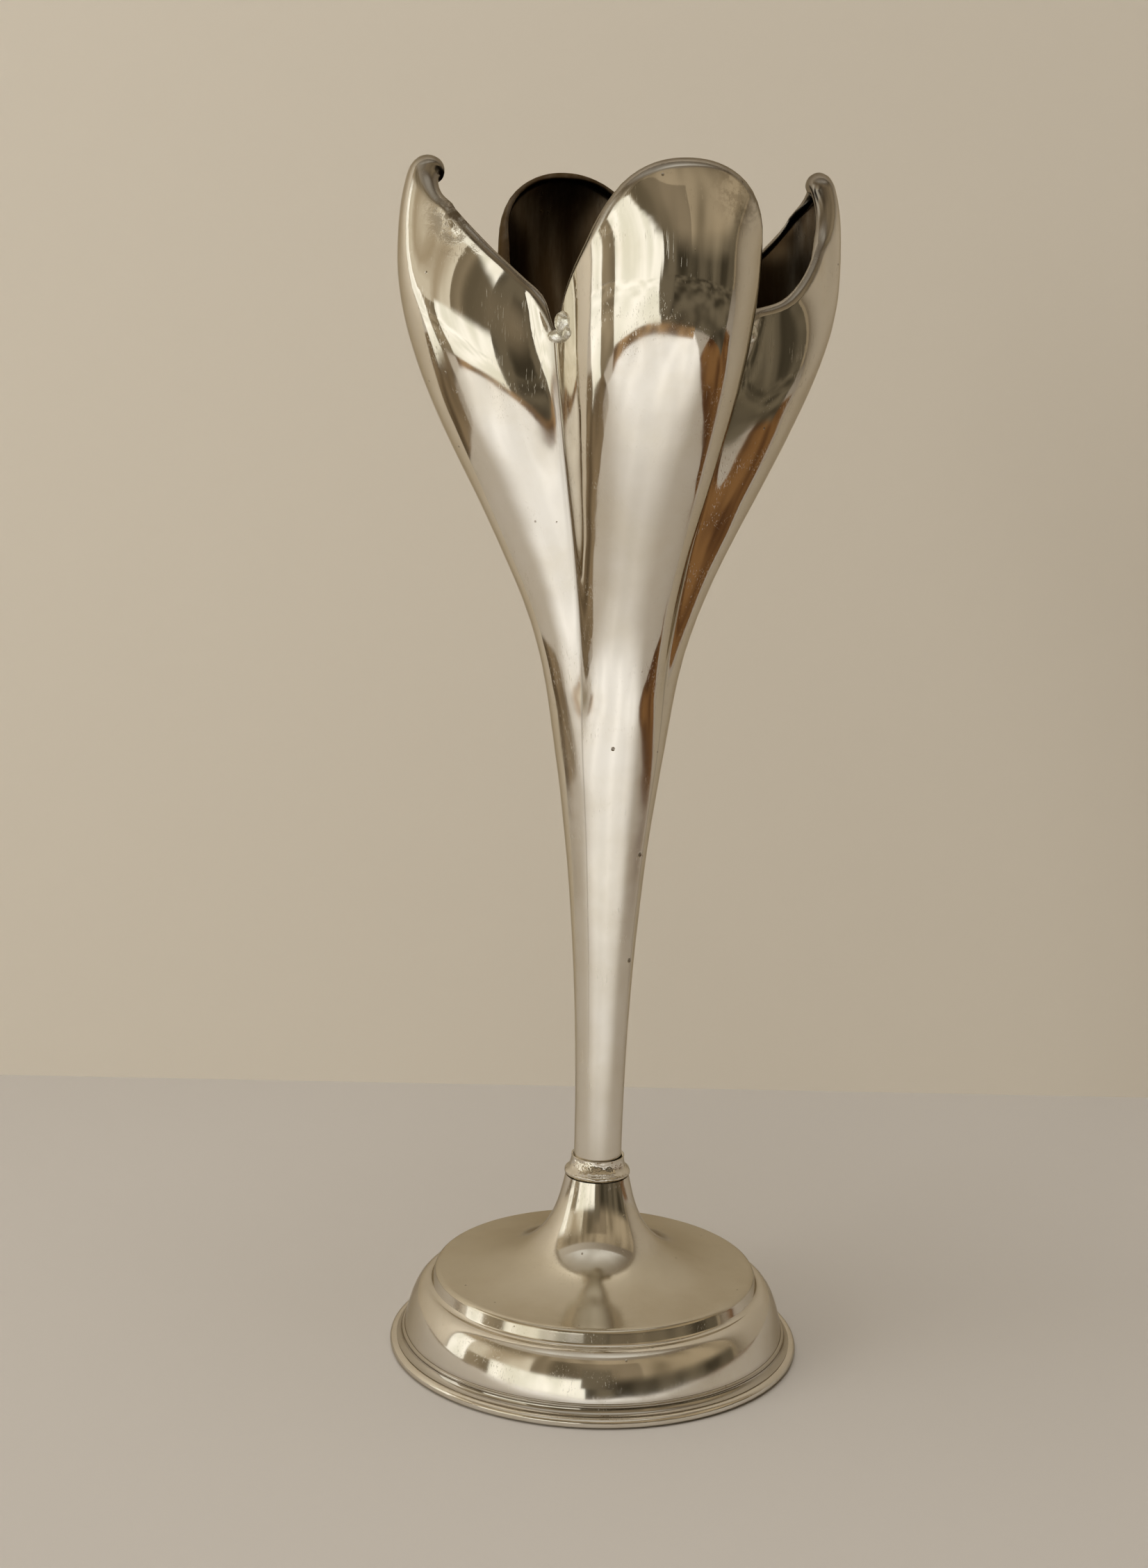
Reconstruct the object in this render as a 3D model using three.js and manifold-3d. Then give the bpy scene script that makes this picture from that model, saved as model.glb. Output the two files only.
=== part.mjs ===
// A silver plated bud vase in the shape of a tulip: four stamped petals on a slender stem and a spun, loaded foot.
// Millimetres, +Z up. The origin is the centre of the face that the vase stands on, and the front petal points to -Y.
import * as THREE from "three";
import { mergeVertices } from "three/addons/utils/BufferGeometryUtils.js";
import Module from "manifold-3d";

// Fits
const CLEARANCE = 0.3; // between pieces that are soldered or seated
const SEAM_GAP = 0.3; // between neighbouring petals, along the valleys

// Foot
const FOOT_RADIUS = 35.5; // over the rim wire
const RIM_WIRE_RADIUS = 0.9;
const FOOT_WALL = 0.8;
const SKIRT_BOTTOM_Z = 0.6;
const BEAD_RADIUS = 0.85; // bead rolled into the flange above the rim wire
const BEAD_SET_BACK = 0.35; // from the skirt in to the foot of the ovolo
const OVOLO_CROWN = 1.7; // level start at the ovolo's top
const OVOLO_FALL = 5; // nearly straight run above its foot
const OVOLO_LEAN = 1; // how far that run leans in
const PLATE_RADIUS = 27; // satin top plate, as far as its rounded edge
const PLATE_Z = 14;
const PLATE_EDGE_RADIUS = 0.5;
const RISER_HEIGHT = 2.1; // straight face under the plate's edge
const RISER_LEAN = 0.62; // how far that face spreads downwards
const COVE_RADIUS = 0.6;
const TRUMPET_TOP_Z = 31;
const NECK_WALL = 1.1;
const TRUMPET_FALL = 8.5; // steep run below the neck
const TRUMPET_SPREAD = 1.7; // how far the steep run widens
const TRUMPET_SWEEP = 4; // where the sweep turns level
const TRUMPET_LIFT = 0.8; // how far the sweep's turn lies over the plate
const SOCKET_DEPTH = 2; // how far the stem goes into the neck

// Underside
const PAD_THICKNESS = 0.8;
const BASE_PLATE_THICKNESS = 0.6;
const DISC_EDGE_ROUND = 0.25;

// Collar
const COLLAR_BEAD_RADIUS = 0.6;
const COLLAR_BEAD_REACH = 1.35; // from the bore out to the bead's widest line
const COLLAR_FLARE_HEIGHT = 2.4;
const COLLAR_LIP = 0.4;

// Stem and petals: sheet, heights from the stem's lower end, radii from the axis
const SHEET = 0.9;
const STEM_RADIUS = 4.1;
const STEM_STRAIGHT = 7;
const THROAT_HEIGHT = 89;
const THROAT_RADIUS = 11.3;
const THROAT_FLARE = 0.19; // widening per millimetre of height
const BOWL_HEIGHT = 158;
const BOWL_RADIUS = 37;
const CREST_TOP_HEIGHT = 170.6; // where the tip's lip starts to bend
const CREST_TOP_RADIUS = 35.2;
const CREST_TOP_LEAN = -0.35;

// Valleys between the petals
const VALLEY_START_HEIGHT = 70;
const VALLEY_MIDDLE_HEIGHT = 110;
const VALLEY_MIDDLE_DEPTH = 5.2;
const VALLEY_MIDDLE_SLOPE = 0.26;
const VALLEY_DEPTH = 13.9; // below the crest, at the widest height
const TIP_DISH = 4.2; // what is left of that depth at the tip
const TIP_DISH_SLOPE = -0.3;
const VALLEY_SOFTNESS = 0.15; // roundness of the channel

// Free edge of a petal: how far it drops below the tip, by the angle from the crest in degrees
const SEAM_ANGLE = 45;
const SHOULDER_ANGLE = 17;
const SHOULDER_SLOPE = 0.72;
const NOTCH_DROP = 25.7;
const NOTCH_SLOPE = 0.75;

// Lip that is turned in along the free edge, angles in degrees
const LIP_BEND_TIP = 2.5; // radius of the bend at the tip
const LIP_TIGHTEN = 0.45; // share by which the tip's scroll tightens to its end
const LIP_TURN_TIP = 245;
const LIP_TURN_SIDE = 80;
const LIP_TURN_NOTCH = 4;
const LIP_TIP_SPAN = 14;
const LIP_NOTCH_SPAN = 10;

// Free edge of a petal, other than its plain drop: the tip stands up as a tongue, one side may be cut lower,
// and a hollow runs along the edge
const TONGUE_SPAN = 10; // angle at which the tongue ends
const TONGUE_FADE = 40;
const CUTAWAY_FADE = 22;
const HOLLOW_START = 2; // angle from the crest at which the hollow starts
const HOLLOW_SPAN = 10;
const HOLLOW_FADE = 12;

// Hand work: how far each petal's upper part is turned on its own crest, in degrees, how far it sways to its side,
// how far its shoulder, tongue and cut-away side drop, how deep and how tall its hollow is,
// what share of the full scroll its tip has and the radius of the bend along its sides
const TWIST_RISE = 14; // height over which the turn comes in
const PETALS = [
  {
    name: "front", twist: 0, sway: 0, shoulder: 4.8, tongue: 0, cutaway: 0,
    hollow: 0, reach: 12, scroll: 0.2, bend: 2.1,
  },
  {
    name: "right", twist: -3, sway: 0, shoulder: 8.2, tongue: 2, cutaway: 5.5,
    hollow: 2.8, reach: 17, scroll: 1, bend: 1.3,
  },
  {
    name: "back", twist: 0, sway: 1.3, shoulder: 5.2, tongue: 0, cutaway: 0,
    hollow: 0, reach: 12, scroll: 0.2, bend: 2.1,
  },
  {
    name: "left", twist: 0, sway: 0, shoulder: 5.8, tongue: 4.2, cutaway: 0,
    hollow: 3.4, reach: 18, scroll: 1, bend: 1.3,
  },
];

// Solder at the notches and the disc that closes the stem
const SOLDER_WIDTH = 3.4;
const SOLDER_DEPTH = 3.4;
const SOLDER_HEIGHT = 4.8;
const SOLDER_RISE = 1.2; // centre above the notch
const SOLDER_OUT = 0.9; // centre outside the valley
const STEM_FLOOR_THICKNESS = 1.2;

// Facets
const LATHE_SIDES = 36;
const RING_SIDES = 8;
const PETAL_COLUMNS = 20;
const PETAL_ROWS = 18;
const LIP_ROWS = 6;
const ROW_CROWDING = 1.5; // more rows towards the tip
const SOLDER_SIDES = 12;

// Derived places
const stemBottomZ = TRUMPET_TOP_Z - SOCKET_DEPTH;
const notchZ = stemBottomZ + CREST_TOP_HEIGHT - NOTCH_DROP;
const socketRadius = STEM_RADIUS + CLEARANCE;
const neckRadius = socketRadius + NECK_WALL;
const skirtRadius = FOOT_RADIUS - 2 * RIM_WIRE_RADIUS - CLEARANCE;
const ovoloFootRadius = skirtRadius - BEAD_SET_BACK;
const beadZ = 2 * RIM_WIRE_RADIUS + BEAD_RADIUS;
const riserFacing = Math.atan(RISER_LEAN / RISER_HEIGHT);
const riserTopRadius = PLATE_RADIUS + PLATE_EDGE_RADIUS * Math.cos(riserFacing);
const riserTopZ = PLATE_Z - PLATE_EDGE_RADIUS * (1 - Math.sin(riserFacing));
const riserFootRadius = riserTopRadius + RISER_LEAN;
const riserFootZ = riserTopZ - RISER_HEIGHT;
const ledgeRadius = riserFootRadius + COVE_RADIUS * Math.cos(riserFacing);
const ledgeZ = riserFootZ - COVE_RADIUS * (1 - Math.sin(riserFacing));
const ovoloFootZ = beadZ + BEAD_RADIUS;
const basePlateZ = PAD_THICKNESS + CLEARANCE;
const underDiscRadius = skirtRadius - FOOT_WALL - CLEARANCE;
const loadingZ = basePlateZ + BASE_PLATE_THICKNESS + CLEARANCE;
const loadingTopZ = stemBottomZ - CLEARANCE;

const radians = THREE.MathUtils.degToRad;
const smooth = (t) => THREE.MathUtils.smoothstep(t, 0, 1);
const point = (r, z) => new THREE.Vector2(r, z);

// Finishes
const finish = (color, roughness, metalness) => () => new THREE.MeshStandardMaterial({ color, roughness, metalness });
const polishedSilver = finish(0xd8cfbd, 0.12, 1);
const satinSilver = finish(0xc9c0ad, 0.3, 1);
const solderGrey = finish(0xc6cabb, 0.35, 1);
const loadingPitch = finish(0x2b2622, 0.9, 0);
const tinnedPlate = finish(0x9a9890, 0.5, 1);
const greenBaize = finish(0x24402f, 1, 0);

const vase = new THREE.Group();

function add(name, geometry, makeMaterial) {
  const mesh = new THREE.Mesh(geometry, makeMaterial());
  mesh.name = name;
  vase.add(mesh);
  return mesh;
}

// A closed ring or a solid of revolution about the vertical axis.
function turned(profile, sides = LATHE_SIDES) {
  return new THREE.LatheGeometry(profile, sides).rotateX(Math.PI / 2);
}

function arc(centreR, centreZ, radiusR, radiusZ, fromAngle, toAngle, steps) {
  return Array.from({ length: steps + 1 }, (_, i) => {
    const angle = radians(fromAngle + ((toAngle - fromAngle) * i) / steps);
    return point(centreR + radiusR * Math.cos(angle), centreZ + radiusZ * Math.sin(angle));
  });
}

// A smooth curve through stations of place, value and slope.
function through(stations, x) {
  let i = 0;
  while (i < stations.length - 2 && x > stations[i + 1][0]) i += 1;
  const [x0, y0, m0] = stations[i];
  const [x1, y1, m1] = stations[i + 1];
  const span = x1 - x0;
  const t = THREE.MathUtils.clamp((x - x0) / span, 0, 1);
  const near = (1 - t) * (1 - t);
  const far = t * t;
  return (1 + 2 * t) * near * y0 + t * near * span * m0 + (3 - 2 * t) * far * y1 + (t - 1) * far * span * m1;
}

// Foot: the sweep of the trumpet and plate, and the ovolo
const trumpet = new THREE.CubicBezierCurve(
  point(neckRadius, TRUMPET_TOP_Z),
  point(neckRadius + TRUMPET_SPREAD, TRUMPET_TOP_Z - TRUMPET_FALL),
  point(neckRadius + TRUMPET_SWEEP, PLATE_Z + TRUMPET_LIFT),
  point(PLATE_RADIUS, PLATE_Z),
);
const ovolo = new THREE.CubicBezierCurve(
  point(ledgeRadius, ledgeZ),
  point(ledgeRadius + OVOLO_CROWN, ledgeZ),
  point(ovoloFootRadius - OVOLO_LEAN, ovoloFootZ + OVOLO_FALL),
  point(ovoloFootRadius, ovoloFootZ),
);

// A line inside the foot, at a distance from its outer line and without the small rounds.
function insideFoot(distance) {
  const line = [
    ...trumpet.getPoints(8).slice(0, -1),
    point(riserTopRadius, riserTopZ),
    point(riserFootRadius, riserFootZ),
    ...ovolo.getPoints(4),
  ];
  return line.map((p, i) => {
    const before = line[Math.max(i - 1, 0)];
    const after = line[Math.min(i + 1, line.length - 1)];
    const along = after.clone().sub(before).normalize();
    return point(p.x + along.y * distance, p.y - along.x * distance);
  });
}

function footShell() {
  const inner = insideFoot(FOOT_WALL).filter((p) => p.y < loadingTopZ - CLEARANCE);
  const facing = THREE.MathUtils.radToDeg(riserFacing);
  const edgeCentreZ = PLATE_Z - PLATE_EDGE_RADIUS;
  const edge = arc(PLATE_RADIUS, edgeCentreZ, PLATE_EDGE_RADIUS, PLATE_EDGE_RADIUS, 60, facing, 2);
  const coveCentreZ = ledgeZ + COVE_RADIUS;
  const cove = arc(ledgeRadius, coveCentreZ, COVE_RADIUS, COVE_RADIUS, 180 + facing, 270, 2);
  const bead = arc(ovoloFootRadius, beadZ, BEAD_RADIUS, BEAD_RADIUS, 70, -70, 5);
  const skirtInside = skirtRadius - FOOT_WALL;
  const profile = [
    ...trumpet.getPoints(12),
    ...edge,
    ...cove,
    ...ovolo.getPoints(6).slice(1),
    ...bead,
    point(skirtRadius, 2 * RIM_WIRE_RADIUS),
    point(skirtRadius, SKIRT_BOTTOM_Z),
    point(skirtInside, SKIRT_BOTTOM_Z),
    point(skirtInside, beadZ),
    ...inner.reverse(),
    point(socketRadius, loadingTopZ),
    point(socketRadius, TRUMPET_TOP_Z),
  ];
  return turned([...profile, profile[0]].reverse());
}

function footLoading() {
  const gap = FOOT_WALL + CLEARANCE;
  const side = insideFoot(gap).filter((p) => p.y < loadingTopZ - gap && p.y > loadingZ);
  const profile = [
    point(0, loadingTopZ),
    point(socketRadius - CLEARANCE, loadingTopZ),
    ...side,
    point(underDiscRadius, loadingZ),
    point(0, loadingZ),
  ];
  return turned(profile.reverse());
}

function disc(radius, lowZ, highZ, round) {
  const profile = [
    point(0, lowZ),
    point(radius - round, lowZ),
    point(radius, lowZ + round),
    point(radius, highZ - round),
    point(radius - round, highZ),
    point(0, highZ),
  ];
  return turned(profile);
}

function rimWire() {
  const centre = FOOT_RADIUS - RIM_WIRE_RADIUS;
  return turned(arc(centre, RIM_WIRE_RADIUS, RIM_WIRE_RADIUS, RIM_WIRE_RADIUS, -90, 270, RING_SIDES));
}

function collar() {
  const bottomZ = TRUMPET_TOP_Z + CLEARANCE;
  const beadCentre = socketRadius + COLLAR_BEAD_REACH - COLLAR_BEAD_RADIUS;
  const beadHeight = bottomZ + COLLAR_BEAD_RADIUS;
  const flareFoot = beadCentre + COLLAR_BEAD_RADIUS * Math.cos(radians(50));
  const flareFootZ = beadHeight + COLLAR_BEAD_RADIUS * Math.sin(radians(50));
  const lipRadius = socketRadius + COLLAR_LIP;
  const profile = [
    point(socketRadius, bottomZ),
    ...arc(beadCentre, beadHeight, COLLAR_BEAD_RADIUS, COLLAR_BEAD_RADIUS, -90, 50, 4),
    ...arc(flareFoot, flareFootZ + COLLAR_FLARE_HEIGHT, lipRadius - flareFoot, -COLLAR_FLARE_HEIGHT, 65, 0, 4),
    point(socketRadius, flareFootZ + COLLAR_FLARE_HEIGHT),
  ];
  return turned([...profile, profile[0]]);
}

// Petal skin in polar form: the crest's radius, less the valley's depth away from the crest
const crestStations = [
  [STEM_STRAIGHT, STEM_RADIUS, 0],
  [THROAT_HEIGHT, THROAT_RADIUS, THROAT_FLARE],
  [BOWL_HEIGHT, BOWL_RADIUS, 0],
  [CREST_TOP_HEIGHT, CREST_TOP_RADIUS, CREST_TOP_LEAN],
];
const valleyStations = [
  [VALLEY_START_HEIGHT, 0, 0],
  [VALLEY_MIDDLE_HEIGHT, VALLEY_MIDDLE_DEPTH, VALLEY_MIDDLE_SLOPE],
  [BOWL_HEIGHT, VALLEY_DEPTH, 0],
  [CREST_TOP_HEIGHT, TIP_DISH, TIP_DISH_SLOPE],
];

function crestShare(angle) {
  const across = Math.cos((angle * Math.PI) / (2 * SEAM_ANGLE));
  const soft = VALLEY_SOFTNESS;
  return (Math.hypot(across, soft) - soft) / (Math.hypot(1, soft) - soft);
}

function plainRadius(angle, height) {
  return through(crestStations, height) - through(valleyStations, height) * (1 - crestShare(angle));
}

function skinRadius(angle, height, petal) {
  const away = Math.abs(angle);
  const flank = smooth((away - HOLLOW_START) / HOLLOW_SPAN) * smooth((SEAM_ANGLE - away) / HOLLOW_FADE);
  const below = edgeHeight(angle, petal) - height;
  return plainRadius(angle, height) - petal.hollow * flank * smooth(1 - below / petal.reach);
}

// A point of the skin at an angle from the crest, with the seam's half gap taken off towards the valley.
function skinPoint(angle, height, petal) {
  const radius = skinRadius(angle, height, petal);
  const gapAngle = Math.asin(SEAM_GAP / 2 / radius);
  const turn = radians(angle) - (angle / SEAM_ANGLE) * gapAngle;
  return new THREE.Vector3(radius * Math.sin(turn), -radius * Math.cos(turn), stemBottomZ + height);
}

function edgeHeight(angle, petal) {
  const stations = [
    [0, 0, 0],
    [SHOULDER_ANGLE, petal.shoulder, SHOULDER_SLOPE],
    [SEAM_ANGLE, NOTCH_DROP, NOTCH_SLOPE],
  ];
  const away = Math.abs(angle);
  const cutaway = angle < 0 ? petal.cutaway * smooth((SEAM_ANGLE - away) / CUTAWAY_FADE) : 0;
  const tongue = petal.tongue * smooth((SEAM_ANGLE - away) / TONGUE_FADE);
  return CREST_TOP_HEIGHT - through(stations, away) - (tongue + cutaway) * smooth(away / TONGUE_SPAN);
}

function lip(angle, petal) {
  const away = Math.abs(angle);
  const tip = petal.scroll * smooth(1 - away / LIP_TIP_SPAN);
  const notch = smooth((SEAM_ANGLE - away) / LIP_NOTCH_SPAN);
  const full = LIP_TURN_SIDE + (LIP_TURN_TIP - LIP_TURN_SIDE) * tip;
  return {
    turn: radians(LIP_TURN_NOTCH + (full - LIP_TURN_NOTCH) * notch),
    radius: petal.bend + (LIP_BEND_TIP - petal.bend) * tip,
    tighten: LIP_TIGHTEN * tip,
  };
}

// One line of the skin from the stem's lower end to the end of the lip, as points with their outward directions.
function petalColumn(angle, petal, overrun) {
  const step = 0.05;
  const top = edgeHeight(angle, petal);
  const normalAt = (height) => {
    const across = skinPoint(angle + step, height, petal).sub(skinPoint(angle - step, height, petal));
    const up = skinPoint(angle, height + step, petal).sub(skinPoint(angle, height - step, petal));
    return across.cross(up).normalize();
  };
  const column = [];
  for (let row = 0; row <= PETAL_ROWS; row += 1) {
    const height = top * (1 - Math.pow(1 - row / PETAL_ROWS, ROW_CROWDING));
    column.push({ angle, at: skinPoint(angle, height, petal), out: normalAt(height) });
  }
  const start = column[PETAL_ROWS];
  const alongEdge = skinPoint(angle + step, edgeHeight(angle + step, petal), petal);
  alongEdge.sub(skinPoint(angle - step, edgeHeight(angle - step, petal), petal)).normalize();
  const outward = start.out.clone().cross(alongEdge).normalize();
  const { turn: fullTurn, radius, tighten } = lip(angle, petal);
  const grownTurn = fullTurn + overrun / radius;
  const at = start.at.clone();
  for (let row = 1; row <= LIP_ROWS; row += 1) {
    const middle = (row - 0.5) / LIP_ROWS;
    const stride = (radius * (1 - tighten * middle) * grownTurn) / LIP_ROWS;
    at.addScaledVector(outward, stride * Math.cos(grownTurn * middle));
    at.addScaledVector(start.out, -stride * Math.sin(grownTurn * middle));
    const turn = (grownTurn * row) / LIP_ROWS;
    const out = start.out.clone().multiplyScalar(Math.cos(turn)).addScaledVector(outward, Math.sin(turn));
    column.push({ angle, at: at.clone(), out });
  }
  return column;
}

// The hand bend turns the upper part of a petal about a line along its own crest, and fades towards the seams.
function bend(at, angle, petal) {
  const share = smooth(1 - Math.abs(angle) / SEAM_ANGLE) * smooth((at.z - notchZ) / TWIST_RISE);
  const crest = new THREE.Vector3(0, -BOWL_RADIUS, 0);
  const upright = new THREE.Vector3(0, 0, 1);
  const bent = at.clone().sub(crest).applyAxisAngle(upright, radians(petal.twist) * share).add(crest);
  bent.x += petal.sway * share;
  return bent;
}

// A petal's sheet between two parallel skins. It is grown on every side when it is to cut its neighbours.
function petalSheet(petal, grow) {
  const columns = Array.from({ length: PETAL_COLUMNS + 1 }, (_, i) =>
    petalColumn(SEAM_ANGLE * ((2 * i) / PETAL_COLUMNS - 1), petal, grow),
  );
  const positions = [];
  const rows = columns[0].length;
  for (const offset of [grow, -SHEET - grow])
    for (const { angle, at, out } of columns.flat())
      positions.push(...bend(at.clone().addScaledVector(out, offset), angle, petal).toArray());
  const innerStart = columns.length * rows;
  const outer = (column, row) => column * rows + row;
  const inner = (column, row) => innerStart + column * rows + row;
  const faces = [];
  const quad = (a, b, c, d) => faces.push(a, b, c, a, c, d);
  const mirrored = (a, b, c, d) => quad(b, c, d, a);
  const lastColumn = columns.length - 1;
  const lastRow = rows - 1;
  for (let i = 0; i < lastColumn; i += 1) {
    const facet = 2 * i < lastColumn ? mirrored : quad;
    for (let j = 0; j < lastRow; j += 1) {
      facet(outer(i, j), outer(i + 1, j), outer(i + 1, j + 1), outer(i, j + 1));
      facet(inner(i, j), inner(i, j + 1), inner(i + 1, j + 1), inner(i + 1, j));
    }
    facet(outer(i, 0), inner(i, 0), inner(i + 1, 0), outer(i + 1, 0));
    facet(outer(i, lastRow), outer(i + 1, lastRow), inner(i + 1, lastRow), inner(i, lastRow));
  }
  for (let j = 0; j < lastRow; j += 1) {
    quad(outer(0, j), outer(0, j + 1), inner(0, j + 1), inner(0, j));
    quad(outer(lastColumn, j), inner(lastColumn, j), inner(lastColumn, j + 1), outer(lastColumn, j + 1));
  }
  const geometry = new THREE.BufferGeometry();
  geometry.setAttribute("position", new THREE.Float32BufferAttribute(positions, 3));
  geometry.setIndex(faces);
  return geometry;
}

// Joining and cutting
const wasm = await Module();
wasm.setup();

function toSolid(geometry) {
  const bare = geometry.clone();
  bare.deleteAttribute("normal");
  bare.deleteAttribute("uv");
  const merged = mergeVertices(bare);
  return new wasm.Manifold(
    new wasm.Mesh({
      numProp: 3,
      vertProperties: Float32Array.from(merged.getAttribute("position").array),
      triVerts: Uint32Array.from(merged.index.array),
    }),
  );
}

function toGeometry(solid) {
  const mesh = solid.getMesh();
  const geometry = new THREE.BufferGeometry();
  geometry.setAttribute("position", new THREE.BufferAttribute(mesh.vertProperties, 3));
  geometry.setIndex(new THREE.BufferAttribute(mesh.triVerts, 1));
  return geometry;
}

// Solder sits in the notch, cut back from the seam below it and from the two petals that it joins.
const seamCore = () => {
  const heights = Array.from({ length: 5 }, (_, i) => notchZ - stemBottomZ - SOLDER_HEIGHT * (1 - i / 4));
  const side = heights.map((h) => point(plainRadius(SEAM_ANGLE, h) + CLEARANCE, stemBottomZ + h));
  const topZ = notchZ + CLEARANCE;
  return turned([point(0, side[0].y), ...side, point(side[4].x, topZ), point(0, topZ)]);
};

function notchSolder(index) {
  const quarter = Math.PI / 2;
  const valleyRadius = plainRadius(SEAM_ANGLE, notchZ - stemBottomZ);
  const lump = new THREE.SphereGeometry(0.5, SOLDER_SIDES, SOLDER_SIDES / 2)
    .scale(SOLDER_WIDTH, SOLDER_HEIGHT, SOLDER_DEPTH)
    .rotateX(quarter)
    .translate(0, -(valleyRadius + SOLDER_OUT), notchZ + SOLDER_RISE)
    .rotateZ(quarter * (index + 0.5));
  let solid = toSolid(lump).subtract(toSolid(seamCore()));
  for (const neighbour of [index, (index + 1) % PETALS.length]) {
    const grown = petalSheet(PETALS[neighbour], CLEARANCE).rotateZ(quarter * neighbour);
    solid = solid.subtract(toSolid(grown));
  }
  const pieces = solid.decompose().sort((a, b) => b.volume() - a.volume());
  return toGeometry(pieces[0]);
}

PETALS.forEach((petal, index) => {
  const mesh = add("petal_" + petal.name, petalSheet(petal, 0), polishedSilver);
  mesh.rotation.z = (Math.PI / 2) * index;
  const next = PETALS[(index + 1) % PETALS.length];
  add("solder_" + petal.name + "_" + next.name, notchSolder(index), solderGrey);
});

const floorZ = stemBottomZ + CLEARANCE;
const floorRadius = STEM_RADIUS - SHEET - CLEARANCE;
add("stem_floor", disc(floorRadius, floorZ, floorZ + STEM_FLOOR_THICKNESS, DISC_EDGE_ROUND), tinnedPlate);
add("collar", collar(), polishedSilver);
add("foot_shell", footShell(), satinSilver);
add("rim_wire", rimWire(), polishedSilver);
add("foot_loading", footLoading(), loadingPitch);
add("base_plate", disc(underDiscRadius, basePlateZ, basePlateZ + BASE_PLATE_THICKNESS, DISC_EDGE_ROUND), tinnedPlate);
add("baize_pad", disc(underDiscRadius, 0, PAD_THICKNESS, DISC_EDGE_ROUND), greenBaize);

export default vase;
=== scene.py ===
import math
import bmesh
import bpy
from mathutils import Matrix, Vector, noise


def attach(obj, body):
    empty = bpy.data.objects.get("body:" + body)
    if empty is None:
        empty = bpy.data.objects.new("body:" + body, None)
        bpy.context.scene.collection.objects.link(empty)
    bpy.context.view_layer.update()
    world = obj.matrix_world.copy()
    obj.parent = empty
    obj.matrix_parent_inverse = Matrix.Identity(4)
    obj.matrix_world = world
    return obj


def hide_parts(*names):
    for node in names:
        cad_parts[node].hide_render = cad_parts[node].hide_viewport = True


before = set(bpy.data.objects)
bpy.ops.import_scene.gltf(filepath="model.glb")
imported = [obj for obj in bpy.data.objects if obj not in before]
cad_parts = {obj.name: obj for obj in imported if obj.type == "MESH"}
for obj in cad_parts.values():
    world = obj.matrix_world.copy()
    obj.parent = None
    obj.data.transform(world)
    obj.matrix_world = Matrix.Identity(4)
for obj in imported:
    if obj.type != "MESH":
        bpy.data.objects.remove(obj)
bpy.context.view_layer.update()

MM = 0.001

# Foot, in millimetres. Its mouldings are a little softer than the solid model's.
FOOT_RADIUS = 35.5
RIM_WIRE_RADIUS = 0.9
FOOT_WALL = 0.8
SKIRT_RADIUS = 33.4
SKIRT_BOTTOM = 0.6
BEAD_RADIUS = 0.45
BEAD_HEIGHT = 3.05
OVOLO_FOOT_RADIUS = 33.05
OVOLO_FOOT_HEIGHT = 3.5
OVOLO_CROWN = 1.7
OVOLO_FALL = 5.0
OVOLO_LEAN = 1.0
PLATE_RADIUS = 27.0
PLATE_HEIGHT = 14.0
PLATE_EDGE = 0.9
RISER_HEIGHT = 1.5
RISER_LEAN = 0.42
COVE = 0.8
NECK_RADIUS = 5.5
NECK_HEIGHT = 31.0
SOCKET_RADIUS = 4.4
SOCKET_BOTTOM = 28.7
TRUMPET = [(NECK_RADIUS, NECK_HEIGHT), (7.2, 22.5), (9.5, 14.8), (PLATE_RADIUS, PLATE_HEIGHT)]
FLANGE = [(33.4, 2.75), (33.5, 2.25), (33.8, 1.9), (34.45, 1.75)]
FLANGE_UNDERSIDE = (34.45, 1.2)
INNER_TRUMPET = [(PLATE_RADIUS - 2, PLATE_HEIGHT - FOOT_WALL), (8.7, 13.6), (6.3, 21), (5.1, 28)]
INNER_CROWN_BACK = 0.6
INNER_FOOT_BACK = 0.1
INNER_ROUND = 0.4
EDGE_START = 80
BEAD_TURN = (80, -30)
TRUMPET_STEPS = 44
INNER_TRUMPET_STEPS = 16
OVOLO_STEPS = 28
BEAD_STEPS = 12
ROUNDING_STEPS = 8
RIM_SIDES = 24

# Collar, in millimetres: each arc has a centre, two radii, its first and last angle and its steps
COLLAR_BOTTOM = 31.05
COLLAR_TOP = 34.5
COLLAR_BORE = SOCKET_RADIUS - 0.2
COLLAR_BEAD = ((5.15, 31.65), (0.6, 0.6), -84, 56, 10)
COLLAR_WAIST = ((5.6, 34.5), (-1.05, -2.35), 74, 4, 10)
COLLAR_LIP = ((4.5, 34.45), (0.1, 0.12), 30, 100, 3)
COLLAR_UNEVEN = 0.22
UNEVEN_SCALE = 330

# Felt under the foot, in millimetres
FELT_RADIUS = 32.3
FELT_HEIGHTS = (0.0, 0.8)
FELT_LIFT = 0.1
FELT_NAP = 0.06
FELT_NAP_SCALE = 900

# Petals, in millimetres and degrees: heights from the stem's lower end, radii from the axis
STEM_BOTTOM = 29.0
SHEET = 0.9
SEAM_ANGLE = 45.0
BOWL_RADIUS = 37.0
CREST_TOP = 170.6
CREST = [(7, 4.1, 0), (89, 11.3, 0.19), (158, BOWL_RADIUS, 0), (CREST_TOP, 35.2, -0.35)]
VALLEY = [(70, 0, 0), (110, 5.2, 0.26), (158, 13.9, 0), (CREST_TOP, 4.2, -0.3)]
VALLEY_SOFTNESS = 0.15
SHOULDER_ANGLE = 17
SHOULDER_SLOPE = 0.72
NOTCH_DROP = 25.7
NOTCH_SLOPE = 0.75
NOTCH_HEIGHT = CREST_TOP - NOTCH_DROP
TONGUE_SPAN = 10
TONGUE_FADE = 40
CUTAWAY_FADE = 22
HOLLOW_START = 2
HOLLOW_SPAN = 10
HOLLOW_FADE = 12
LIP_TIGHTEN = 0.45
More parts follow.
